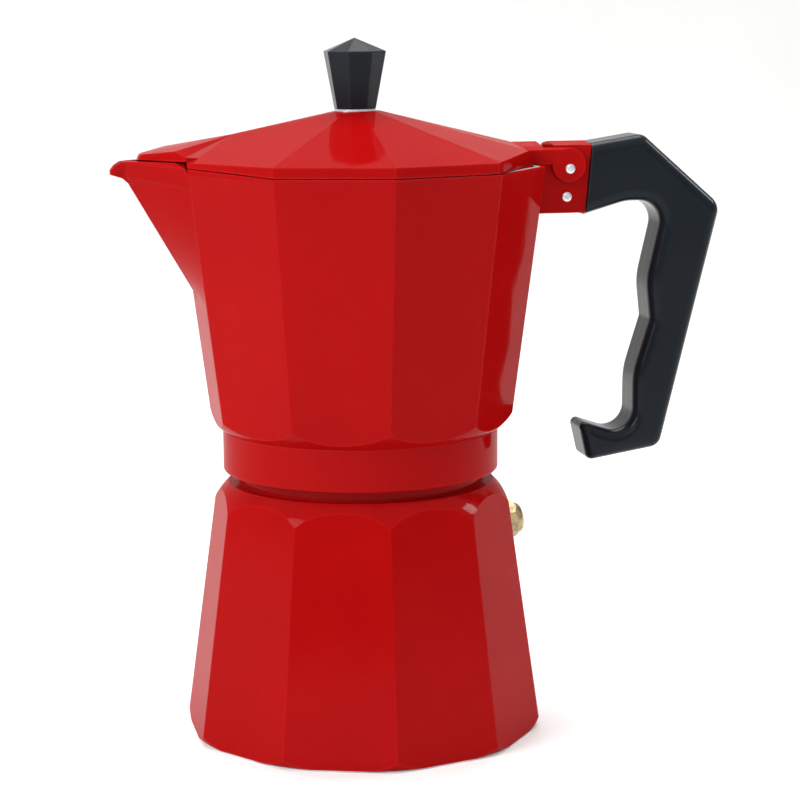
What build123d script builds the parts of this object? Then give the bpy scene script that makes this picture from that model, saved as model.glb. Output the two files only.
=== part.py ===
from build123d import *
import math
import os

# A ten-sided stove-top moka pot.  Millimetres, +Z up, Z axis through the middle of the pot,
# z = 0 on the surface it stands on, +X towards the handle, -X towards the spout.

SIDES = 10                  # facets of boiler, collector and lid
HALF_SIDE = 180 / SIDES     # turns a vertex off the X axis, so that a facet faces the handle

# Heights of the main steps
BOILER_SHOULDER_Z = 67.0    # the shoulder starts to round over
LEDGE_Z = 74.1              # flat top of the boiler outside its neck
NECK_TOP_Z = 86.0
COLLAR_FOOT_Z = 77.4
SEAT_Z = 90.7               # underside of the collector's floor
FLOOR_Z = 94.2              # inside floor of the collector
CHAMBER_TOP_Z = 165.5
LID_GAP = 0.3               # clearance between parts that come apart
LID_FOOT_Z = CHAMBER_TOP_Z + LID_GAP
LID_RIM_Z = 168.7
APEX_Z = 181.5
KNOB_FOOT_Z = 182.1
KNOB_SHOULDER_Z = 198.5
KNOB_TOP_Z = 202.3
RIM_RISE = 1.4              # how far the chamber's rim climbs beside the spout

# Vertex radii of the ten-sided bodies
BOILER_FOOT_R = 53.11
BOILER_TAPER = 0.1394       # vertex radius lost per millimetre of height
CHAMBER_FOOT_R = 44.11      # at the height CHAMBER_FOOT_Z
CHAMBER_FOOT_Z = 89.5
CHAMBER_FLARE = 0.1307      # vertex radius gained per millimetre of height
LID_R = 54.2
APEX_R = 6.8
KNOB_X = -0.8               # the knob sits a little off the pot's axis
KNOB_BUSH_R = 3.0
WALL = 3.0

# Neck, collar and seals
NECK_BORE_R = 32.3
NECK_ROOT_R = 36.0
NECK_CREST_R = 36.9
COLLAR_CREST_R = 37.2
COLLAR_ROOT_R = 38.1
COLLAR_R = 40.3
THREAD_PITCH = 3.0
THREAD_TURNS = 3
SEAT_R = 36.5
GASKET_R = 36.2
GASKET_HOLE_R = 28.0
GASKET_FOOT_Z = 87.4
GASKET_TOP_Z = 90.4

# Basket and funnel
CUP_R = 31.8
CUP_WALL = 0.9
CUP_FLANGE_R = 35.2
CUP_FLANGE_Z = 86.3
CUP_FLANGE_T = 0.8
STRAINER_Z = 63.0
STRAINER_T = 0.8
TUBE_R = 5.0
TUBE_WALL = 0.9
TUBE_FOOT_Z = 11.0
SOCKET_Z = 50.0

# Centre column
COLUMN_TOP_Z = 150.0
COLUMN_FOOT_R = 9.5
COLUMN_TOP_R = 6.2
COLUMN_BORE_R = 3.4

# Hinge and bracket
PIN_X = 60.8
PIN_Z = 164.2
PIN_R = 1.35
PIN_CLEARANCE = 0.05
PIN_HEAD_R = 1.5
BRACKET_HALF = 6.9
BRACKET_FOOT_Z = 151.2
BRACKET_END_X = 66.9
BRIDGE_TOP_Z = LID_FOOT_Z - 2 * LID_GAP
BLOCK_FRONT_X = 56.4
BLOCK_SIDE_Z = 170.9
RIDGE_Z = 171.8             # middle line of the block's top and of the lid's tab
LOBE_X = 60.6
LOBE_Z = 165.3
LOBE_R = 5.05
EAR_INNER_Y = 7.2
EAR_T = 1.7
EAR_OUTER_Y = EAR_INNER_Y + EAR_T
WEB_END_X = 52.85
WEB_FOOT_Z = 169.2
HANDLE_PIN_X = 60.4
HANDLE_PIN_Z = 155.9

# Handle
HANDLE_HALF = 8.2
HANDLE_EDGE_R = 3.4
TONGUE_HALF = 3.5
TONGUE_FRONT_X = 55.6
TONGUE_FOOT_Z = 153.4
TONGUE_TOP_Z = 160.6

# Safety valve, on the facet under the handle
VALVE_Z = 59.2
VALVE_SHANK_R = 4.0
VALVE_HEX_AF = 10.0
VALVE_WASHER_T = 0.8
VALVE_BORE_R = 2.6
VALVE_INLET_R = 1.5
VALVE_SEAT_Z = -6.3         # along the valve's own axis, 0 on the facet
VALVE_INNER_Z = -9.0
BOSS_T = 6.6                # thickness of the boiler wall with the valve's boss


def boiler_r(z):
    """Vertex radius of the boiler at height z."""
    return BOILER_FOOT_R - BOILER_TAPER * z


def chamber_r(z):
    """Vertex radius of the collector at height z."""
    return CHAMBER_FOOT_R + CHAMBER_FLARE * (z - CHAMBER_FOOT_Z)


def vertex_ring(radius, z):
    """The ten corner points of a decagon at height z."""
    angles = [math.radians(HALF_SIDE + 2 * HALF_SIDE * k) for k in range(SIDES)]
    return [(radius * math.cos(a), radius * math.sin(a), z) for a in angles]


def decagon_frustum(r0, z0, r1, z1, edge_r=0):
    """Ten-sided frustum, its upright edges rounded to edge_r."""
    body = ConvexPolyhedron(vertex_ring(r0, z0) + vertex_ring(r1, z1))
    if edge_r:
        upright = body.edges().filter_by(lambda e: abs(e.tangent_at(0.5).Z) > 0.5)
        body = fillet(upright, edge_r)
    return body


def turned(line):
    """Solid of revolution about Z from a line drawn in the XZ plane and closed to itself."""
    return revolve(make_face(line), Axis.Z)


def rod(radius, z0, z1):
    """Round bar along Z."""
    return Pos(0, 0, (z0 + z1) / 2) * Cylinder(radius, z1 - z0)


def tube(outer, inner, z0, z1):
    """Round tube along Z."""
    return rod(outer, z0, z1) - rod(inner, z0 - 1, z1 + 1)


def block(x0, x1, y0, y1, z0, z1):
    """Box between two corners."""
    centre = Pos((x0 + x1) / 2, (y0 + y1) / 2, (z0 + z1) / 2)
    return centre * Box(x1 - x0, y1 - y0, z1 - z0)


def cross_bar(x, z, radius, half_length):
    """Round bar along Y, centred on y = 0."""
    return Pos(x, 0, z) * Rot(90, 0, 0) * Cylinder(radius, 2 * half_length)


def mirrored(points):
    """The points with their mirror images across y = 0."""
    return points + [(x, -y, z) for x, y, z in points if y]


def thread_rings(crest_r, root_r, z0):
    """Thread crests as separate V rings, one per turn."""
    depth = crest_r - root_r
    rings = []
    for k in range(THREAD_TURNS):
        z = z0 + THREAD_PITCH * k
        profile = Polyline(
            (root_r - math.copysign(0.3, depth), 0, z - 1.0),
            (root_r, 0, z - 1.0),
            (crest_r, 0, z - 0.35),
            (crest_r, 0, z + 0.35),
            (root_r, 0, z + 1.0),
            (root_r - math.copysign(0.3, depth), 0, z + 1.0),
            close=True,
        )
        rings.append(turned(profile))
    return rings


def hole_grid(rings, first_r, hole_r, z0, z1):
    """Perforation: one middle hole and concentric rings of holes."""
    holes = [rod(hole_r, z0, z1)]
    for k in range(rings):
        count = 6 * (k + 1)
        ring_r = first_r * (k + 1)
        for angle in (360 / count * i for i in range(count)):
            holes.append(Rot(0, 0, angle) * Pos(ring_r, 0, 0) * rod(hole_r, z0, z1))
    return holes


# ---------------------------------------------------------------- boiler and valve

def valve_frame():
    """Place with its origin on the valve's facet and +Z along the facet's outward normal."""
    lean = math.atan(BOILER_TAPER * math.cos(math.radians(HALF_SIDE)))
    face_x = boiler_r(VALVE_Z) * math.cos(math.radians(HALF_SIDE))
    return Pos(face_x, 0, VALVE_Z) * Rot(0, 90 - math.degrees(lean), 0)


def make_boiler():
    facets = decagon_frustum(BOILER_FOOT_R, 0, boiler_r(80), 80, edge_r=1.2)
    foot_r = 50.7
    foot = ThreePointArc((foot_r, 0, 0), (52.2, 0, 1.6), (53.0, 0, 5.5))
    shoulder = ThreePointArc((43.9, 0, BOILER_SHOULDER_Z), (41.6, 0, 71.1), (38.9, 0, LEDGE_Z))
    outline = foot + Line((53.0, 0, 5.5), (53.2, 0, 20)) + Line((53.2, 0, 20), (43.9, 0, BOILER_SHOULDER_Z))
    outline += shoulder + Polyline((38.9, 0, LEDGE_Z), (0, 0, LEDGE_Z), (0, 0, 0), (foot_r, 0, 0))
    body = facets & turned(outline)
    body += rod(NECK_ROOT_R, LEDGE_Z - 1, NECK_TOP_Z)
    for ring in thread_rings(NECK_CREST_R, NECK_ROOT_R, LEDGE_Z + 4.4):
        body += ring

    inside = FilletPolyline(
        (0, 0, 3.6), (48.6, 0, 3.6), (40.0, 0, 64), (NECK_BORE_R, 0, 72),
        (NECK_BORE_R, 0, NECK_TOP_Z + 1), (0, 0, NECK_TOP_Z + 1),
        radius=[6, 5, 4, 0], close=False,
    )
    inside += Line((0, 0, NECK_TOP_Z + 1), (0, 0, 3.6))
    boss = valve_frame() * rod(7.5, -BOSS_T, -1)
    body = body - turned(inside) + boss
    bore = valve_frame() * rod(VALVE_SHANK_R, -12, 6)
    foot_groove = tube(38.6, 37.4, -1, 0.5)
    return body - bore - foot_groove


def make_valve_body():
    """Brass body: hexagon and cone outside, threaded shank through the wall."""
    hexagon = extrude(RegularPolygon(VALVE_HEX_AF / 2, 6, major_radius=False), 3.4)
    crown = turned(Polyline((0, 0, -1), (7, 0, -1), (7, 0, 1.6), (4.9, 0, 3.4), (0, 0, 3.4), close=True))
    dome = turned(Line((0, 0, 3), (4.7, 0, 3)) + ThreePointArc((4.7, 0, 3), (4.2, 0, 4.6), (3.1, 0, 5.4))
                  + Polyline((3.1, 0, 5.4), (0, 0, 5.4), (0, 0, 3)))
    shank = rod(VALVE_SHANK_R, VALVE_INNER_Z, 1)
    chamber = rod(VALVE_BORE_R, VALVE_SEAT_Z, 7)
    inlet = rod(VALVE_INLET_R, VALVE_INNER_Z - 1, 0)
    seat = turned(Polyline((0, 0, VALVE_SEAT_Z - 1.2), (VALVE_INLET_R, 0, VALVE_SEAT_Z - 1.2),
                           (VALVE_BORE_R, 0, VALVE_SEAT_Z), (0, 0, VALVE_SEAT_Z), close=True))
    body = Pos(0, 0, VALVE_WASHER_T) * ((hexagon & crown) + dome) + shank
    return valve_frame() * (body - chamber - inlet - seat)


def make_valve_washer():
    return valve_frame() * tube(5.9, VALVE_SHANK_R, 0, VALVE_WASHER_T)


def make_valve_nut():
    hexagon = extrude(RegularPolygon(5.6, 6, major_radius=False), 2.2)
    return valve_frame() * Pos(0, 0, -BOSS_T - 2.2) * (hexagon - rod(VALVE_SHANK_R, -1, 4))


def make_valve_plunger():
    """Sealing head low in the body, thin stem out through the cap."""
    head = turned(Polyline((0, 0, -0.9), (1.3, 0, -0.9), (2.2, 0, 0), (2.2, 0, 1.1), (0, 0, 1.1), close=True))
    stem = rod(0.8, 0, 12.9)
    return valve_frame() * Pos(0, 0, VALVE_SEAT_Z) * (head + stem)


def make_valve_spring():
    """Round-wire compression spring between the head's travel and the cap."""
    wire_r = 0.3
    coil_r = 1.75
    path = Helix(pitch=1.5, height=7.5, radius=coil_r)
    section = Plane(origin=path @ 0, z_dir=path % 0) * Circle(wire_r)
    return valve_frame() * Pos(0, 0, -3.2) * sweep(section, path=path, is_frenet=True)


def make_valve_cap():
    """Crimped ring in the mouth of the body, around the stem."""
    return valve_frame() * tube(VALVE_BORE_R, 1.1, 4.6, 5.8)


# ---------------------------------------------------------------- basket and seals

def make_basket_cup():
    """Thin spun cup with a flat flange that rests on the neck."""
    top = CUP_FLANGE_Z + CUP_FLANGE_T
    inner_r = CUP_R - CUP_WALL
    socket_r = TUBE_R + CUP_WALL
    foot = STRAINER_Z - 1.2
    cup = turned(Polyline(
        (CUP_FLANGE_R, 0, CUP_FLANGE_Z), (CUP_FLANGE_R, 0, top), (inner_r, 0, top),
        (inner_r, 0, STRAINER_Z), (inner_r - 1.4, 0, STRAINER_Z), (inner_r - 1.4, 0, foot + 0.6),
        (TUBE_R, 0, SOCKET_Z + 3.0), (TUBE_R, 0, SOCKET_Z), (socket_r, 0, SOCKET_Z),
        (socket_r, 0, SOCKET_Z + 2.6), (CUP_R - 1.2, 0, foot - 0.6), (CUP_R, 0, foot + 0.6),
        (CUP_R, 0, CUP_FLANGE_Z), close=True,
    ))
    return cup


def make_funnel_tube():
    return tube(TUBE_R, TUBE_R - TUBE_WALL, TUBE_FOOT_Z, SOCKET_Z + 2.6)


def make_basket_strainer():
    disc_r = CUP_R - CUP_WALL
    disc = rod(disc_r, STRAINER_Z, STRAINER_Z + STRAINER_T)
    return disc - hole_grid(5, 5.0, 0.9, STRAINER_Z - 1, STRAINER_Z + 2)


def make_gasket():
    """Rubber ring with a groove inside that holds the filter plate's rim."""
    ring = FilletPolyline(
        (GASKET_HOLE_R, 0, GASKET_FOOT_Z), (GASKET_R, 0, GASKET_FOOT_Z),
        (GASKET_R, 0, GASKET_TOP_Z), (29.4, 0, GASKET_TOP_Z),
        (29.4, 0, GASKET_TOP_Z - 1.0), (GASKET_HOLE_R, 0, GASKET_TOP_Z - 1.0),
        radius=[0.3, 0.6, 0.6, 0, 0, 0], close=True,
    )
    return turned(ring)


def make_filter_plate():
    """Perforated plate: raised rim in the gasket's groove, flat middle below it."""
    rim_z = GASKET_TOP_Z - 1.0
    plate = turned(Polyline(
        (0, 0, 87.7), (26.4, 0, 87.7), (27.6, 0, rim_z - 0.1), (27.6, 0, rim_z), (29.3, 0, rim_z),
        (29.3, 0, rim_z + 0.8), (26.8, 0, rim_z + 0.8), (25.9, 0, 88.5), (0, 0, 88.5), close=True,
    ))
    return plate - hole_grid(7, 3.4, 0.6, 87, 90)


# ---------------------------------------------------------------- collector

def collector_shell():
    """Facets, rounded belly and threaded collar, still solid inside the chamber."""
    facets = decagon_frustum(chamber_r(84), 84, chamber_r(CHAMBER_TOP_Z), CHAMBER_TOP_Z, edge_r=1.2)
    belly = ThreePointArc((40.0, 0, 89.4), (42.5, 0, 91.5), (45.6, 0, 95.8))
    outline = belly + Polyline(
        (45.6, 0, 95.8), (60, 0, 120), (60, 0, CHAMBER_TOP_Z), (0, 0, CHAMBER_TOP_Z),
        (0, 0, 89.4), (40.0, 0, 89.4),
    )
    collar = fillet(rod(COLLAR_R, COLLAR_FOOT_Z, 90.2).edges().sort_by(Axis.Z)[:1], 0.9)
    return (facets & turned(outline)) + collar


def collar_bore():
    """Space inside the collar: thread, run-out and gasket seat."""
    bore = rod(COLLAR_CREST_R, COLLAR_FOOT_Z - 1, NECK_TOP_Z + LID_GAP)
    bore += rod(SEAT_R, COLLAR_FOOT_Z, SEAT_Z)
    for ring in thread_rings(COLLAR_ROOT_R, COLLAR_CREST_R, COLLAR_FOOT_Z + 2.4):
        bore += ring
    throat = turned(Polyline((0, 0, SEAT_Z - 1), (11, 0, SEAT_Z - 1), (11, 0, SEAT_Z),
                             (COLUMN_BORE_R, 0, 97), (0, 0, 97), close=True))
    return bore + throat


def chamber_hollow():
    """Inside of the upper chamber: ten flats above a rounded floor."""
    top = CHAMBER_TOP_Z + 8
    flats = decagon_frustum(chamber_r(90) - WALL, 90, chamber_r(top) - WALL, top, edge_r=2.5)
    bowl = FilletPolyline((0, 0, FLOOR_Z), (38.6, 0, FLOOR_Z), (48, 0, 112), (60, 0, top), (0, 0, top),
                          radius=[7, 0, 0], close=False)
    bowl += Line((0, 0, top), (0, 0, FLOOR_Z))
    return flats & turned(bowl)


def column():
    """Hollow cone in the middle, its top rounded, with two side outlets."""
    outer = FilletPolyline((0, 0, FLOOR_Z - 2), (COLUMN_FOOT_R, 0, FLOOR_Z - 2),
                           (COLUMN_FOOT_R, 0, FLOOR_Z), (COLUMN_TOP_R, 0, COLUMN_TOP_Z), (0, 0, COLUMN_TOP_Z),
                           radius=[0, 0, 4], close=False)
    outer += Line((0, 0, COLUMN_TOP_Z), (0, 0, FLOOR_Z - 2))
    return turned(outer)


def column_bore():
    outlet_z = COLUMN_TOP_Z - 7
    outlets = Pos(0, 0, outlet_z) * Box(3.6, 30, 4.4)
    return rod(COLUMN_BORE_R, 90, outlet_z + 2.2) + outlets


def spout_section(z, keel_x):
    """Level slice of the spout's beak: from the two wall edges beside it out to its keel."""
    a = math.radians(18)
    edge_x = (chamber_r(z) - 0.1) * math.cos(a)
    edge_y = (chamber_r(z) - 0.1) * math.sin(a)
    outline = Polyline((-40, -11), (-edge_x, -edge_y), (keel_x, 0), (-edge_x, edge_y), (-40, 11), close=True)
    return Pos(0, 0, z) * make_face(outline)


def spout_solid():
    """V-shaped spout: its keel climbs from the facet and curls out into a lip."""
    beak = loft([spout_section(128, -46.9), spout_section(161.7, -66.3)], ruled=True)
    mouth = ConvexPolyhedron(mirrored([
        (-44, 12, 161.4), (-50.7, 16.45, 161.4), (-51.4, 16.5, 165.5), (-52.3, 16.2, 167.0),
        (-54.6, 13.2, 168.5), (-44, 12, 168.5), (-66.1, 0, 161.4), (-67.4, 1.2, 164.2), (-67.0, 3.2, 168.5),
    ]))
    lip = ConvexPolyhedron(mirrored([
        (-64, 0.4, 160.6), (-66.3, 0.5, 161.9), (-68.2, 0.8, 163.6), (-68.6, 2.6, 168.4), (-64, 4.6, 168.5),
    ]))
    tip = ConvexPolyhedron(mirrored([
        (-66, 0.6, 163.2), (-68.2, 0.8, 163.6), (-71.6, 1.0, 164.7), (-71.6, 1.2, 166.0),
        (-70.4, 1.8, 167.4), (-68.6, 2.6, 168.4), (-66, 3.4, 168.4),
    ]))
    under_lid = block(-52.05, -30, -15.7, 15.7, CHAMBER_TOP_Z, 180)
    under_lid += block(-52.05, -30, -20, 20, CHAMBER_TOP_Z + RIM_RISE, 180)
    return beak + mouth + lip + tip - under_lid


def rim_ramp(r0, r1, foot_z, lift, past=0.0):
    """Wedges climbing by RIM_RISE towards the spout, and ending past degrees beyond the wall's edge."""
    points = []
    for degrees, top_z in ((162 + past, CHAMBER_TOP_Z + RIM_RISE + lift), (126, CHAMBER_TOP_Z + lift)):
        a = math.radians(degrees)
        for r in (r0, r1):
            points.append((r * math.cos(a), r * math.sin(a), foot_z))
            points.append((r * math.cos(a), r * math.sin(a), top_z))
    far = ConvexPolyhedron(points)
    near = ConvexPolyhedron([(x, -y, z) for x, y, z in points])
    return far + near


def spout_channel():
    channel = ConvexPolyhedron(mirrored([
        (-42.5, 0, 130), (-38, 6, 140), (-38, 12, 172), (-49.6, 13.4, 165.5), (-50.4, 13.0, 172),
        (-63.6, 0, 163.0), (-65.4, 1.7, 168.5), (-65.4, 1.7, 172),
    ]))
    lip = ConvexPolyhedron(mirrored([
        (-60, 0, 160.8), (-68.8, 0.3, 165.6), (-72.2, 0.4, 167.0), (-72.2, 1.2, 172), (-62, 2.6, 172),
        (-64.8, 1.6, 168),
    ]))
    return channel + lip


def bracket():
    """Hinge bracket: a bridge out from the wall, and a taller block with a ridged top at its end."""
    bridge = block(48, BRACKET_END_X + 2, -BRACKET_HALF, BRACKET_HALF, BRACKET_FOOT_Z, BRIDGE_TOP_Z)
    hinge_block = ConvexPolyhedron(mirrored([
        (x, y, z) for x in (BLOCK_FRONT_X, BRACKET_END_X + 2)
        for y, z in ((0, RIDGE_Z), (BRACKET_HALF, BLOCK_SIDE_Z), (BRACKET_HALF, BRACKET_FOOT_Z))
    ]))
    body = bridge + hinge_block
    body -= handle_front(0.15)
    slot = block(TONGUE_FRONT_X - 0.2, 80, -TONGUE_HALF - 0.1, TONGUE_HALF + 0.1,
                 TONGUE_FOOT_Z - 0.1, TONGUE_TOP_Z + 0.1)
    return body - slot


def handle_front(gap=0.0):
    """Half-space behind the sloping joint face between bracket and handle."""
    x0 = 66.0 - gap
    x1 = 67.9 - gap
    slope = (x1 - x0) / 20.7
    low = x0 - slope * 20
    high = x1 + slope * 20
    profile = Polyline((low, 0, 130.6), (high, 0, 191.3), (120, 0, 191.3), (120, 0, 130.6), close=True)
    return extrude(make_face(profile), 30, both=True)


def make_collector():
    top_r = chamber_r(CHAMBER_TOP_Z)
    ramp = rim_ramp(top_r - WALL, top_r, CHAMBER_TOP_Z - 0.5, 0)
    body = collector_shell() + spout_solid() + ramp + bracket()
    body -= chamber_hollow()
    body -= spout_channel()
    body += column()
    body -= collar_bore()
    body -= column_bore()
    body -= cross_bar(PIN_X, PIN_Z, PIN_R, 20)
    body -= cross_bar(HANDLE_PIN_X, HANDLE_PIN_Z, PIN_R, 20)
    return body


# ---------------------------------------------------------------- handle and pins

def make_handle():
    """Hooked grip: straight outer faces, two finger hollows inside, a toe at the bottom."""
    corners = [
        ((66.0, 150.6), 0), ((67.9, 171.3), 0), ((83.6, 173.7), 3.5), ((107.5, 152.5), 5),
        ((89.7, 80.9), 4), ((67.4, 77.3), 2), ((64.6, 89.7), 1.6), ((81.3, 83.9), 6),
        ((81.4, 103), 25), ((86.4, 119), 3), ((85.2, 130.5), 22), ((90.7, 154.2), 6.5), ((78.5, 154.2), 14),
    ]
    outline = FilletPolyline([(x, 0, z) for (x, z), r in corners], radius=[r for c, r in corners], close=True)
    grip = extrude(make_face(outline), HANDLE_HALF, both=True)
    rims = grip.edges().filter_by(lambda e: abs(e.center().Y) > HANDLE_HALF - 0.01)
    rims = rims.filter_by(lambda e: e.center().X > 67.2 or e.center().Z < 150)
    grip = fillet(rims, HANDLE_EDGE_R)
    tongue = block(TONGUE_FRONT_X, 70, -TONGUE_HALF, TONGUE_HALF, TONGUE_FOOT_Z, TONGUE_TOP_Z)
    return grip + tongue - cross_bar(HANDLE_PIN_X, HANDLE_PIN_Z, PIN_R, 20)


def peened_pin(x, z, half_length):
    """Plain pin with a low domed head at each end."""
    rim_r = PIN_HEAD_R - 0.15
    head = turned(Polyline((0, 0, 0), (PIN_HEAD_R, 0, 0), (rim_r, 0, 0.35), (0.8, 0, 0.55), (0, 0, 0.55),
                           close=True))
    pin = rod(PIN_R, -half_length, half_length)
    pin += Pos(0, 0, half_length) * head
    pin += Pos(0, 0, -half_length) * Rot(180, 0, 0) * head
    return Pos(x, 0, z) * Rot(90, 0, 0) * pin


def make_hinge_pin():
    return peened_pin(PIN_X, PIN_Z, EAR_OUTER_Y + 0.1)


def make_handle_pin():
    return peened_pin(HANDLE_PIN_X, HANDLE_PIN_Z, BRACKET_HALF)


# ---------------------------------------------------------------- lid and knob

def lid_outer():
    """Low ten-sided pyramid, its spout and hinge facets raised along y = 0."""
    pyramid = ConvexPolyhedron(
        vertex_ring(LID_R, LID_FOOT_Z) + vertex_ring(LID_R, LID_RIM_Z) + vertex_ring(APEX_R, APEX_Z)
        + [(-41.0, 0, 174.6), (44.5, 0, RIDGE_Z + 0.2)]
    )
    cover = ConvexPolyhedron(mirrored([
        (-36, 0, 175.6), (-41.0, 0, 174.6), (-40, 14, 168.9), (-51.9, 16.2, 170.2), (-52.2, 16.2, 168.9),
        (-54.6, 13.0, 171.7), (-54.9, 13.2, 168.9), (-62.4, 3.4, 170.5), (-63.0, 3.6, 168.9),
        (-63.2, 2.0, 170.2), (-63.8, 2.2, 168.9), (-40, 0, 168.9),
    ]))
    return pyramid + cover


def lid_hollow():
    pyramid = ConvexPolyhedron(
        vertex_ring(LID_R - 2.8, LID_FOOT_Z - 1) + vertex_ring(LID_R - 2.8, LID_RIM_Z - 1.6)
        + vertex_ring(APEX_R - 1.0, APEX_Z - 2.2)
    )
    cover = ConvexPolyhedron(mirrored([
        (-36, 0, 172.6), (-36, 11, 168), (-50.4, 13.6, 169.0), (-50.4, 13.6, 160), (-53.6, 11.6, 169.9),
        (-53.6, 11.6, 160), (-61.2, 2.6, 168.9), (-61.2, 2.6, 160), (-36, 11, 160),
    ]))
    return pyramid + cover


def corner_cut(inset=0.0):
    """Space beyond the straight edge between each rear side corner and the tab, moved inwards by inset."""
    a = math.radians(61.4)
    dx = -inset * math.sin(a)
    dy = inset * math.cos(a)
    outline = [(50.2 + dx, -EAR_OUTER_Y - 0.05), (31.0 + dx, -44.13 + dy), (31.0 + dx, -75), (80, -75),
               (80, -EAR_OUTER_Y - 0.05)]
    near = Pos(0, 0, BRIDGE_TOP_Z + 0.1) * extrude(make_face(Polyline(*outline, close=True)), 12)
    return near + mirror(near, about=Plane.XZ)


def ear(side):
    """Flange beside the web, ending in a round lobe about the hinge pin."""
    y0 = side * EAR_INNER_Y
    y1 = side * EAR_OUTER_Y
    lobe = Pos(LOBE_X, (y0 + y1) / 2, LOBE_Z) * Rot(90, 0, 0) * Cylinder(LOBE_R, EAR_T)
    lobe = fillet(lobe.edges().filter_by(lambda e: abs(abs(e.center().Y) - EAR_OUTER_Y) < 0.01), 0.4)
    top_z = LOBE_Z + LOBE_R
    flange = ConvexPolyhedron([
        (x, y, z) for x in (47, LOBE_X)
        for y, z in ((y0, top_z), (y1, top_z - 0.6), (y0, LID_FOOT_Z - 0.2), (y1, LID_FOOT_Z - 0.2))
    ])
    return lobe + flange


def make_lid():
    web = ConvexPolyhedron(mirrored([
        (x, y, z) for x in (43, WEB_END_X)
        for y, z in ((0, RIDGE_Z), (7.5, RIDGE_Z - 1.0), (EAR_OUTER_Y, RIDGE_Z - 2.1),
                     (EAR_OUTER_Y, LID_FOOT_Z), (0, LID_FOOT_Z))
    ]))
    under_web = block(49.4, 80, -EAR_INNER_Y, EAR_INNER_Y, 150, WEB_FOOT_Z)
    skirt = decagon_frustum(50.3, 163.4, 50.3, LID_RIM_Z - 1.2) - decagon_frustum(48.6, 160, 48.6, 172)
    skirt -= block(-60, -40, -15.5, 15.5, 160, 175)
    shell = lid_outer() + web - corner_cut()
    shell -= lid_hollow() - corner_cut(2.6)
    shell -= rim_ramp(LID_R - 3.6, LID_R + 6, LID_FOOT_Z - 0.8, LID_GAP, 1.6)
    boss = Pos(KNOB_X, 0, 0) * rod(4.6, APEX_Z - 3.2, APEX_Z - 0.5)
    shell = shell + (skirt - corner_cut()) + boss
    shell = shell - under_web + ear(1) + ear(-1)
    pin_hole = cross_bar(PIN_X, PIN_Z, PIN_R + PIN_CLEARANCE, 20)
    return shell - pin_hole - Pos(KNOB_X, 0, 0) * rod(2.1, 170, 190)


def octagon(radius, z):
    angles = [math.radians(22.5 + 45 * k) for k in range(8)]
    return [(radius * math.cos(a), radius * math.sin(a), z) for a in angles]


def make_knob():
    """Tapered eight-sided grip with a low pointed top."""
    body = ConvexPolyhedron(octagon(6.1, KNOB_FOOT_Z) + octagon(9.2, KNOB_SHOULDER_Z) + [(0, 0, KNOB_TOP_Z)])
    body = fillet(body.edges(), 0.4)
    return Pos(KNOB_X, 0, 0) * (body - rod(KNOB_BUSH_R, 180, KNOB_FOOT_Z + 9))


def make_knob_washer():
    return Pos(KNOB_X, 0, 0) * tube(6.0, 2.1, APEX_Z, KNOB_FOOT_Z)


def make_knob_insert():
    """Brass bush moulded into the knob, with a blind screw hole."""
    insert = rod(KNOB_BUSH_R, KNOB_FOOT_Z, KNOB_FOOT_Z + 9) - rod(2.0, 180, KNOB_FOOT_Z + 8)
    return Pos(KNOB_X, 0, 0) * insert


def make_knob_screw():
    """Pan-head screw from inside the lid, with a cross slot."""
    head_top = APEX_Z - 3.2
    head = rod(3.8, head_top - 2.2, head_top)
    head = fillet(head.edges().sort_by(Axis.Z)[:1], 1.2)
    slots = Pos(0, 0, head_top - 2.2) * (Box(4.6, 0.8, 2) + Box(0.8, 4.6, 2))
    return Pos(KNOB_X, 0, 0) * (head + rod(2.0, head_top - 0.1, KNOB_FOOT_Z + 7.4) - slots)


def main():
    os.makedirs("parts", exist_ok=True)
    makers = {
        "boiler": make_boiler,
        "valve_body": make_valve_body,
        "valve_washer": make_valve_washer,
        "valve_nut": make_valve_nut,
        "valve_plunger": make_valve_plunger,
        "valve_spring": make_valve_spring,
        "valve_cap": make_valve_cap,
        "basket_cup": make_basket_cup,
        "funnel_tube": make_funnel_tube,
        "basket_strainer": make_basket_strainer,
        "gasket": make_gasket,
        "filter_plate": make_filter_plate,
        "collector": make_collector,
        "handle": make_handle,
        "handle_pin": make_handle_pin,
        "hinge_pin": make_hinge_pin,
        "lid": make_lid,
        "knob": make_knob,
        "knob_washer": make_knob_washer,
        "knob_insert": make_knob_insert,
        "knob_screw": make_knob_screw,
    }
    for name, make in makers.items():
        shape = make()
        print(name, "solids", len(shape.solids()), "volume", round(shape.volume, 1), "valid", shape.is_valid)
        export_step(shape, f"parts/{name}.step")


main()
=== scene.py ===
import math

import bpy
from mathutils import Matrix, Vector

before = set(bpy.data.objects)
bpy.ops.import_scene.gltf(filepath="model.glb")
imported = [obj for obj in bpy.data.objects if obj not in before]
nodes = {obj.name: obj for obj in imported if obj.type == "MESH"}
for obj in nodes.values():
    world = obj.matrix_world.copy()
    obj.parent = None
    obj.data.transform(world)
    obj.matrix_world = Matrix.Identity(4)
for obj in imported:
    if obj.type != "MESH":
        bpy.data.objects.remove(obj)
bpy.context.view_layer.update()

MM = 0.001

# Outer faces of the ten-sided castings, as in the CAD: millimetres, measured to the corners
SIDE = math.cos(math.radians(18))       # facet distance over corner radius
BOILER_FOOT_R = 53.11
BOILER_TAPER = 0.1394                   # corner radius lost per unit of height
CHAMBER_FOOT_R = 44.11
CHAMBER_FOOT_Z = 89.5
CHAMBER_FLARE = 0.1307                  # corner radius gained per unit of height

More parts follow.
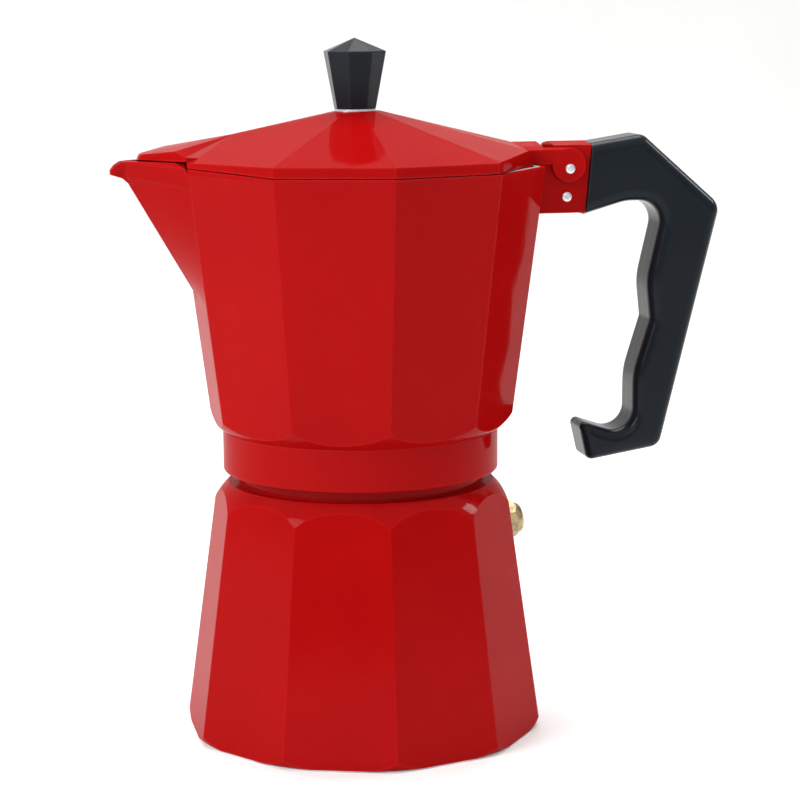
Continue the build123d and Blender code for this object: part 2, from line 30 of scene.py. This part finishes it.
# Limits of the bare metal, in millimetres. Each lies inside a wall or just off a face.
BOILER_SKIN = 1.6                       # depth under the outer faces
CHAMBER_SKIN = 1.5
BOILER_FLOOR_Z = 1.5
FOOT_BARE_Z = 0.4
SHOULDER_BARE_R = 42.2                  # round limit of the inside, at SHOULDER_BARE_Z
SHOULDER_BARE_Z = 64.0
SHOULDER_SLOPE = 0.75                   # radius lost per unit of height above that
NECK_BARE_R = 37.0
NECK_BARE_Z = 76.9
CHAMBER_FLOOR_Z = 93.0
COLLAR_BARE_R = 39.2
COLLAR_BARE_Z = 93.1
LID_BARE_R = 52.9
LID_ROOF_TOP = 182.02816                # the roof's limit on the axis
LID_ROOF_SLOPE = 0.2689                 # height lost per unit of radius
LID_CORNER_FACING = (0.888, 0.461)      # x and |y| of the direction the rear corner cuts face
LID_CORNER_BARE = 47.2                  # distance from the axis in that direction

# Colours
RED_DEEP = (0.265, 0.0020, 0.0022)
RED_LIGHT = (0.31, 0.0026, 0.0028)
# Lighter red painted along the lacquer's edges as a highlight
RED_EDGE_HIGHLIGHT = (0.50, 0.012, 0.013)
BLACK_DEEP = (0.0050, 0.0078, 0.0110)
BLACK_LIGHT = (0.0075, 0.0108, 0.0150)
# Lighter grey painted along the black plastic's edges as a highlight
BLACK_EDGE_HIGHLIGHT = (0.030, 0.036, 0.043)
DUST_SPECK = (0.60, 0.10, 0.09)
CAST_DARK = (0.50, 0.50, 0.51)
CAST_LIGHT = (0.72, 0.72, 0.72)
BRASS_DARK = (0.24, 0.17, 0.09)
BRASS_LIGHT = (0.50, 0.38, 0.22)
BRASS_TARNISH = (0.12, 0.08, 0.05)

# Axes that machined rings turn about
LEAN = math.atan(BOILER_TAPER * SIDE)
VALVE_AXIS = (math.cos(LEAN), 0.0, math.sin(LEAN))
VALVE_AT = (42.7, 0, 59.2)
HINGE_PIN_AT = (60.8, 0, 164.2)
ON_AXIS = (0, 0, 0)
UP = (0.0, 0.0, 1.0)
ACROSS = (0.0, 1.0, 0.0)

# Camera, fitted to the photo's angle: places in millimetres, focal length and shift in picture widths
CAMERA_AT = (-132.46, -695.08, 215.01)
CAMERA_AIM = (0, 0, 95.1)
CAMERA_FOCAL = 3.0585
CAMERA_SHIFT = (0.0498, 0.00885)
CAMERA_ROLL_DEG = -0.46


# ---------------------------------------------------------------- node helpers

class Graph:
    """Short calls for building one material's nodes."""

    def __init__(self, name):
        self.mat = bpy.data.materials.new(name)
        self.mat.use_nodes = True
        self.tree = self.mat.node_tree
        self.tree.nodes.clear()
        self.out = self.tree.nodes.new("ShaderNodeOutputMaterial")
        self.coords = self.tree.nodes.new("ShaderNodeTexCoord")
        self.place = self.coords.outputs["Object"]
        self.geometry = self.tree.nodes.new("ShaderNodeNewGeometry")

    def put(self, socket, value):
        if isinstance(value, bpy.types.NodeSocket):
            self.tree.links.new(value, socket)
        elif isinstance(value, tuple) and len(value) == 3 and socket.type == "RGBA":
            socket.default_value = (*value, 1)
        else:
            socket.default_value = value

    def math(self, op, a, b=0.0, c=0.0):
        n = self.tree.nodes.new("ShaderNodeMath")
        n.operation = op
        for socket, value in zip(n.inputs, (a, b, c)):
            self.put(socket, value)
        return n.outputs[0]

    def vector(self, op, a, b=(0, 0, 0)):
        n = self.tree.nodes.new("ShaderNodeVectorMath")
        n.operation = op
        self.put(n.inputs[0], a)
        self.put(n.inputs[1], b)
        return n.outputs["Value"] if op in ("DOT_PRODUCT", "LENGTH") else n.outputs["Vector"]

    def split(self, vector):
        n = self.tree.nodes.new("ShaderNodeSeparateXYZ")
        self.put(n.inputs[0], vector)
        return n.outputs[0], n.outputs[1], n.outputs[2]

    def join(self, x, y, z):
        n = self.tree.nodes.new("ShaderNodeCombineXYZ")
        for socket, value in zip(n.inputs, (x, y, z)):
            self.put(socket, value)
        return n.outputs[0]

    def noise(self, scale, detail=3.0, rough=0.55, place=None):
        n = self.tree.nodes.new("ShaderNodeTexNoise")
        self.put(n.inputs["Vector"], place or self.place)
        n.inputs["Scale"].default_value = scale
        n.inputs["Detail"].default_value = detail
        n.inputs["Roughness"].default_value = rough
        return n.outputs["Fac"]

    def specks(self, scale):
        """Distance to the nearest of scattered points, in cells."""
        n = self.tree.nodes.new("ShaderNodeTexVoronoi")
        self.put(n.inputs["Vector"], self.place)
        n.inputs["Scale"].default_value = scale
        return n.outputs["Distance"]

    def remap(self, value, lo, hi, to_lo=0.0, to_hi=1.0):
        n = self.tree.nodes.new("ShaderNodeMapRange")
        self.put(n.inputs["Value"], value)
        for key, v in (("From Min", lo), ("From Max", hi), ("To Min", to_lo), ("To Max", to_hi)):
            self.put(n.inputs[key], v)
        return n.outputs["Result"]

    def mix(self, fac, a, b):
        n = self.tree.nodes.new("ShaderNodeMix")
        n.data_type = "RGBA"
        self.put(n.inputs[0], fac)
        self.put(n.inputs[6], a)
        self.put(n.inputs[7], b)
        return n.outputs[2]

    def bump(self, height, depth_mm):
        n = self.tree.nodes.new("ShaderNodeBump")
        n.inputs["Strength"].default_value = 1.0
        n.inputs["Distance"].default_value = depth_mm * MM
        self.put(n.inputs["Height"], height)
        return n.outputs["Normal"]

    def shader(self, **settings):
        n = self.tree.nodes.new("ShaderNodeBsdfPrincipled")
        for key, value in settings.items():
            self.put(n.inputs[key.replace("_", " ")], value)
        return n.outputs[0]

    def mix_shader(self, fac, a, b):
        n = self.tree.nodes.new("ShaderNodeMixShader")
        self.put(n.inputs[0], fac)
        self.put(n.inputs[1], a)
        self.put(n.inputs[2], b)
        return n.outputs[0]

    def done(self, surface):
        self.put(self.out.inputs["Surface"], surface)
        return self.mat


def edge_highlight(g, width_mm):
    """Mask for painted edge highlights: 0 on flats, 1 along edges, from how far a rounded-off normal turns
    away from the surface's own.
    """
    n = g.tree.nodes.new("ShaderNodeBevel")
    n.samples = 4
    n.inputs["Radius"].default_value = width_mm * MM
    bent = g.vector("DOT_PRODUCT", n.outputs[0], g.geometry.outputs["Normal"])
    return g.remap(bent, 1.0, 0.93)


# ---------------------------------------------------------------- materials

def cast_inside(g):
    """Bare cast aluminium: pale grey, fine casting grain, soft tool marks."""
    x, y, z = g.split(g.place)
    blotch = g.noise(60, 4)
    grain = g.noise(1800, 2, 0.7)
    drawn_out = g.join(g.math("MULTIPLY", x, 240), g.math("MULTIPLY", y, 240), g.math("MULTIPLY", z, 40))
    streak = g.noise(1.0, 3, 0.6, drawn_out)
    tone = g.math("ADD", g.math("MULTIPLY", blotch, 0.55), g.math("MULTIPLY", streak, 0.45))
    colour = g.mix(g.remap(tone, 0.35, 0.65), CAST_DARK, CAST_LIGHT)
    rough = g.remap(g.math("ADD", blotch, g.math("MULTIPLY", grain, 0.5)), 0.5, 1.0, 0.34, 0.52)
    height = g.math("ADD", g.math("MULTIPLY", grain, 0.35), streak)
    return dict(Base_Color=colour, Metallic=1.0, Roughness=rough, Normal=g.bump(height, 0.05))


def lacquer(name, bare):
    """Glossy red lacquer over aluminium, bare where bare(g) is 1."""
    g = Graph(name)
    cloud = g.noise(16, 3)
    fine = g.noise(900, 2)
    dust = g.remap(g.specks(520), 0.07, 0.02)
    rare = g.remap(g.noise(150, 1), 0.66, 0.70)
    dust = g.math("MULTIPLY", dust, rare)
    edge = edge_highlight(g, 0.9)
    base = g.mix(g.remap(cloud, 0.3, 0.7), RED_DEEP, RED_LIGHT)
    # Painted highlight: edges lightened towards a brighter red
    base = g.mix(g.math("MULTIPLY", edge, 0.35), base, RED_EDGE_HIGHLIGHT)
    base = g.mix(g.math("MULTIPLY", dust, 0.25), base, DUST_SPECK)
    peel = g.noise(300, 2, 0.5)
    swell = g.noise(34, 2, 0.4)
    height = g.math("ADD", g.math("MULTIPLY", peel, 0.25), swell)
    normal = g.bump(height, 0.05)
    rough = g.math("ADD", g.remap(fine, 0.3, 0.7, 0.26, 0.34), g.math("MULTIPLY", dust, 0.2))
    paint = g.shader(Base_Color=base, Metallic=0.0, Roughness=rough, Normal=normal, Coat_Normal=normal,
                     Coat_Weight=0.32, Coat_Roughness=0.06, Coat_IOR=1.22, Specular_IOR_Level=0.0)
    metal = g.shader(**cast_inside(g))
    return g.done(g.mix_shader(bare(g), paint, metal))


def decagon_distance(g):
    """Distance from the axis square to the nearest of ten facets, with height and round distance."""
    x, y, z = g.split(g.place)
    angle = g.math("ARCTAN2", y, x)
    step = math.radians(36)
    folded = g.math("SUBTRACT", g.math("FLOORED_MODULO", g.math("ADD", angle, step / 2), step), step / 2)
    radius = g.vector("LENGTH", g.join(x, y, 0.0))
    return g.math("MULTIPLY", radius, g.math("COSINE", folded)), z, radius


def below(g, value, limit):
    """1 where value is under limit."""
    return g.math("LESS_THAN", value, limit)


def bare_boiler(g):
    """Inside of the boiler, its threaded neck and the face it stands on."""
    d, z, radius = decagon_distance(g)
    wall = g.math("MULTIPLY_ADD", z, -BOILER_TAPER * SIDE, (BOILER_FOOT_R - BOILER_SKIN) * MM * SIDE)
    shoulder_top = SHOULDER_BARE_R + SHOULDER_SLOPE * SHOULDER_BARE_Z
    under_shoulder = g.math("MULTIPLY_ADD", z, -SHOULDER_SLOPE, shoulder_top * MM)
    inside = g.math("MULTIPLY", below(g, d, wall), below(g, radius, under_shoulder))
    inside = g.math("MULTIPLY", inside, g.math("GREATER_THAN", z, BOILER_FLOOR_Z * MM))
    above_shoulder = g.math("GREATER_THAN", z, NECK_BARE_Z * MM)
    neck = g.math("MULTIPLY", above_shoulder, below(g, radius, NECK_BARE_R * MM))
    foot = below(g, z, FOOT_BARE_Z * MM)
    return g.math("MAXIMUM", g.math("MAXIMUM", inside, neck), foot)


def bare_collector(g):
    """Inside of the upper chamber, and the threaded bore of its collar."""
    d, z, radius = decagon_distance(g)
    above_foot = g.math("SUBTRACT", z, CHAMBER_FOOT_Z * MM)
    wall_foot = (CHAMBER_FOOT_R - CHAMBER_SKIN) * MM * SIDE
    wall = g.math("MULTIPLY_ADD", above_foot, CHAMBER_FLARE * SIDE, wall_foot)
    inside = g.math("MULTIPLY", below(g, d, wall), g.math("GREATER_THAN", z, CHAMBER_FLOOR_Z * MM))
    under_floor = below(g, z, COLLAR_BARE_Z * MM)
    collar = g.math("MULTIPLY", below(g, radius, COLLAR_BARE_R * MM), under_floor)
    return g.math("MAXIMUM", inside, collar)


def bare_lid(g):
    """Underside of the lid, kept off its rim and off the straight cuts at its rear corners."""
    d, z, radius = decagon_distance(g)
    x, y, _ = g.split(g.place)
    roof = g.math("MULTIPLY_ADD", radius, -LID_ROOF_SLOPE, LID_ROOF_TOP * MM)
    sideways = g.math("MULTIPLY", g.math("ABSOLUTE", y), LID_CORNER_FACING[1])
    corner = g.math("MULTIPLY_ADD", x, LID_CORNER_FACING[0], sideways)
    inner = g.math("MULTIPLY", below(g, d, LID_BARE_R * MM * SIDE), below(g, z, roof))
    return g.math("MULTIPLY", inner, below(g, corner, LID_CORNER_BARE * MM))


def handle_plastic(name):
    """Black moulded phenolic: satin skin, fine grain, pores and a mould seam."""
    seam_width_mm = 0.35
    g = Graph(name)
    _, y, _ = g.split(g.place)
    cloud = g.noise(45, 4)
    grain = g.noise(2200, 2, 0.7)
    pores = g.remap(g.specks(1500), 0.16, 0.05)
    pores = g.math("MULTIPLY", pores, g.remap(g.noise(300, 1), 0.5, 0.6))
    edge = edge_highlight(g, 0.8)
    base = g.mix(g.remap(cloud, 0.3, 0.7), BLACK_DEEP, BLACK_LIGHT)
    # Painted highlight: edges lightened towards grey
    base = g.mix(g.math("MULTIPLY", edge, 0.5), base, BLACK_EDGE_HIGHLIGHT)
    seam = g.remap(g.math("ABSOLUTE", y), 0.0, seam_width_mm * MM, 1.0, 0.0)
    height = g.math("ADD", g.math("MULTIPLY", grain, 0.25), g.math("MULTIPLY", seam, 1.4))
    height = g.math("SUBTRACT", height, g.math("MULTIPLY", pores, 0.6))
    rough = g.remap(g.math("ADD", cloud, g.math("MULTIPLY", grain, 0.6)), 0.5, 1.1, 0.17, 0.27)
    return g.done(g.shader(Base_Color=base, Metallic=0.0, Roughness=rough, Normal=g.bump(height, 0.02),
                           Specular_IOR_Level=0.12))


def turned_metal(name, dark, light, rough_lo, rough_hi, axis, centre, line_mm=0.12, tarnish=None):
    """Machined metal with fine rings about an axis, and tarnish in patches."""
    g = Graph(name)
    moved = g.vector("SUBTRACT", g.place, tuple(c * MM for c in centre))
    along = g.vector("DOT_PRODUCT", moved, axis)
    n = g.tree.nodes.new("ShaderNodeVectorMath")
    n.operation = "SCALE"
    g.put(n.inputs[0], axis)
    g.put(n.inputs["Scale"], along)
    radius = g.vector("LENGTH", g.vector("SUBTRACT", moved, n.outputs[0]))
    per_line = 1 / (line_mm * MM)
    across_lines = g.join(g.math("MULTIPLY", radius, per_line), g.math("MULTIPLY", along, per_line), 0.0)
    rings = g.noise(1.0, 2, 0.8, across_lines)
    patch = g.noise(240, 4)
    tone = g.math("ADD", g.math("MULTIPLY", rings, 0.5), g.math("MULTIPLY", patch, 0.5))
    base = g.mix(g.remap(tone, 0.38, 0.62), dark, light)
    if tarnish:
        base = g.mix(g.remap(g.noise(420, 3), 0.52, 0.7, 0.0, 0.6), base, tarnish)
    rough = g.remap(tone, 0.35, 0.65, rough_lo, rough_hi)
    return g.done(g.shader(Base_Color=base, Metallic=1.0, Roughness=rough, Normal=g.bump(rings, 0.012)))


def fibre_washer():
    """Red vulcanised fibre, matt and stringy."""
    g = Graph("red_fibre")
    strands = g.noise(900, 4, 0.7)
    base = g.mix(g.remap(strands, 0.35, 0.65), (0.16, 0.035, 0.02), (0.34, 0.10, 0.06))
    return g.done(g.shader(Base_Color=base, Roughness=0.85, Normal=g.bump(strands, 0.05)))


def seal_rubber():
    """Off-white rubber, matt with a fine grain."""
    g = Graph("seal_rubber")
    cloud = g.noise(90, 3)
    grain = g.noise(1600, 2)
    base = g.mix(g.remap(cloud, 0.3, 0.7), (0.62, 0.60, 0.54), (0.78, 0.76, 0.70))
    rough = g.remap(grain, 0.3, 0.7, 0.5, 0.62)
    return g.done(g.shader(Base_Color=base, Roughness=rough, Normal=g.bump(grain, 0.02)))


def assign(mat, *names):
    """Give one material to every slot of the named nodes."""
    for name in names:
        for slot in nodes[name].material_slots:
            slot.material = mat


assign(lacquer("boiler_lacquer", bare_boiler), "boiler")
assign(lacquer("collector_lacquer", bare_collector), "collector")
assign(lacquer("lid_lacquer", bare_lid), "lid")
black = handle_plastic("black_phenolic")
assign(black, "handle", "knob")
brass = turned_metal("valve_brass", BRASS_DARK, BRASS_LIGHT, 0.24, 0.40, VALVE_AXIS, VALVE_AT,
                     tarnish=BRASS_TARNISH)
assign(brass, "valve_body", "valve_nut", "valve_cap", "knob_insert")
assign(turned_metal("valve_steel", (0.42, 0.42, 0.43), (0.66, 0.66, 0.67), 0.22, 0.36, VALVE_AXIS, VALVE_AT),
       "valve_plunger", "valve_spring")
pin_steel = turned_metal("pin_steel", (0.50, 0.50, 0.51), (0.78, 0.78, 0.79), 0.25, 0.4, ACROSS,
                         HINGE_PIN_AT, 0.2)
assign(pin_steel, "hinge_pin", "handle_pin")
assign(turned_metal("top_steel", (0.48, 0.48, 0.49), (0.74, 0.74, 0.75), 0.22, 0.36, UP, ON_AXIS),
       "knob_washer", "knob_screw")
assign(turned_metal("spun_aluminium", (0.60, 0.60, 0.61), (0.80, 0.80, 0.80), 0.26, 0.4, UP, ON_AXIS, 0.35),
       "basket_cup", "funnel_tube", "basket_strainer", "filter_plate")
assign(seal_rubber(), "gasket")
assign(fibre_washer(), "valve_washer")


# ---------------------------------------------------------------- floor, light, camera

def make_floor():
    """Pale sheet that curves up behind the pot."""
    half_width = 9.0
    bend_at = 1.4
    bend_r = 0.8
    wall_top = 3.6
    steps = 8
    profile = [(-half_width, 0.0)]
    for k in range(steps + 1):
        a = math.radians(90 * k / steps)
        profile.append((bend_at + bend_r * math.sin(a), bend_r - bend_r * math.cos(a)))
    profile.append((bend_at + bend_r, wall_top))
    verts = [(x, y, z) for y, z in profile for x in (-half_width, half_width)]
    faces = [(2 * k, 2 * k + 1, 2 * k + 3, 2 * k + 2) for k in range(len(profile) - 1)]
    mesh = bpy.data.meshes.new("floor")
    mesh.from_pydata(verts, [], faces)
    for poly in mesh.polygons:
        poly.use_smooth = True
    floor = bpy.data.objects.new("floor", mesh)
    bpy.context.scene.collection.objects.link(floor)
    g = Graph("pale_floor")
    cloud = g.noise(3, 3)
    base = g.mix(g.remap(cloud, 0.3, 0.7), (0.80, 0.80, 0.80), (0.84, 0.84, 0.84))
    mesh.materials.append(g.done(g.shader(Base_Color=base, Roughness=g.remap(cloud, 0.3, 0.7, 0.55, 0.65))))


def soft_box(name, at, aim, width, height, power):
    """Rectangular light, in metres and watts."""
    light = bpy.data.lights.new(name, "AREA")
    light.shape = "RECTANGLE"
    light.size = width
    light.size_y = height
    light.energy = power
    lamp = bpy.data.objects.new(name, light)
    lamp.location = at
    lamp.rotation_euler = (Vector(aim) - Vector(at)).to_track_quat("-Z", "Y").to_euler()
    bpy.context.scene.collection.objects.link(lamp)


def make_camera():
    """Camera at the photo's angle, its picture centre moved by a small shift."""
    camera = bpy.data.cameras.new("camera")
    eye = bpy.data.objects.new("camera", camera)
    at = Vector(CAMERA_AT) * MM
    look = Vector(CAMERA_AIM) * MM - at
    roll = Matrix.Rotation(math.radians(CAMERA_ROLL_DEG), 3, "Z")
    eye.location = at
    eye.rotation_euler = (look.to_track_quat("-Z", "Y").to_matrix() @ roll).to_euler()
    camera.lens = CAMERA_FOCAL * camera.sensor_width
    camera.shift_x, camera.shift_y = CAMERA_SHIFT
    bpy.context.scene.collection.objects.link(eye)
    bpy.context.scene.camera = eye


def make_sky():
    """Soft surrounding light that gets stronger from the horizon upwards."""
    world = bpy.data.worlds.new("studio")
    world.use_nodes = True
    sky = world.node_tree
    place = sky.nodes.new("ShaderNodeTexCoord")
    parts = sky.nodes.new("ShaderNodeSeparateXYZ")
    ramp = sky.nodes.new("ShaderNodeMapRange")
    background = sky.nodes["Background"]
    sky.links.new(place.outputs["Generated"], parts.inputs[0])
    sky.links.new(parts.outputs[2], ramp.inputs["Value"])
    for key, value in (("From Min", 0.0), ("From Max", 0.7), ("To Min", 0.30), ("To Max", 1.10)):
        ramp.inputs[key].default_value = value
    sky.links.new(ramp.outputs["Result"], background.inputs["Strength"])
    background.inputs["Color"].default_value = (1.0, 0.99, 0.98, 1)
    bpy.context.scene.world = world


make_floor()
make_camera()
make_sky()
bpy.context.scene.view_settings.view_transform = "Standard"
soft_box("key", at=(-1.35, -0.75, 0.95), aim=(0, 0, 0.1), width=0.9, height=0.9, power=24)
soft_box("front", at=(-0.35, -1.6, 0.9), aim=(0, 0, 0.1), width=0.7, height=0.7, power=2.5)
soft_box("top", at=(0.0, 0.5, 1.5), aim=(0, 0, 0.15), width=1.2, height=0.9, power=20)
soft_box("side", at=(1.25, 0.12, 0.80), aim=(0.06, 0, 0.12), width=0.25, height=0.25, power=4.0)
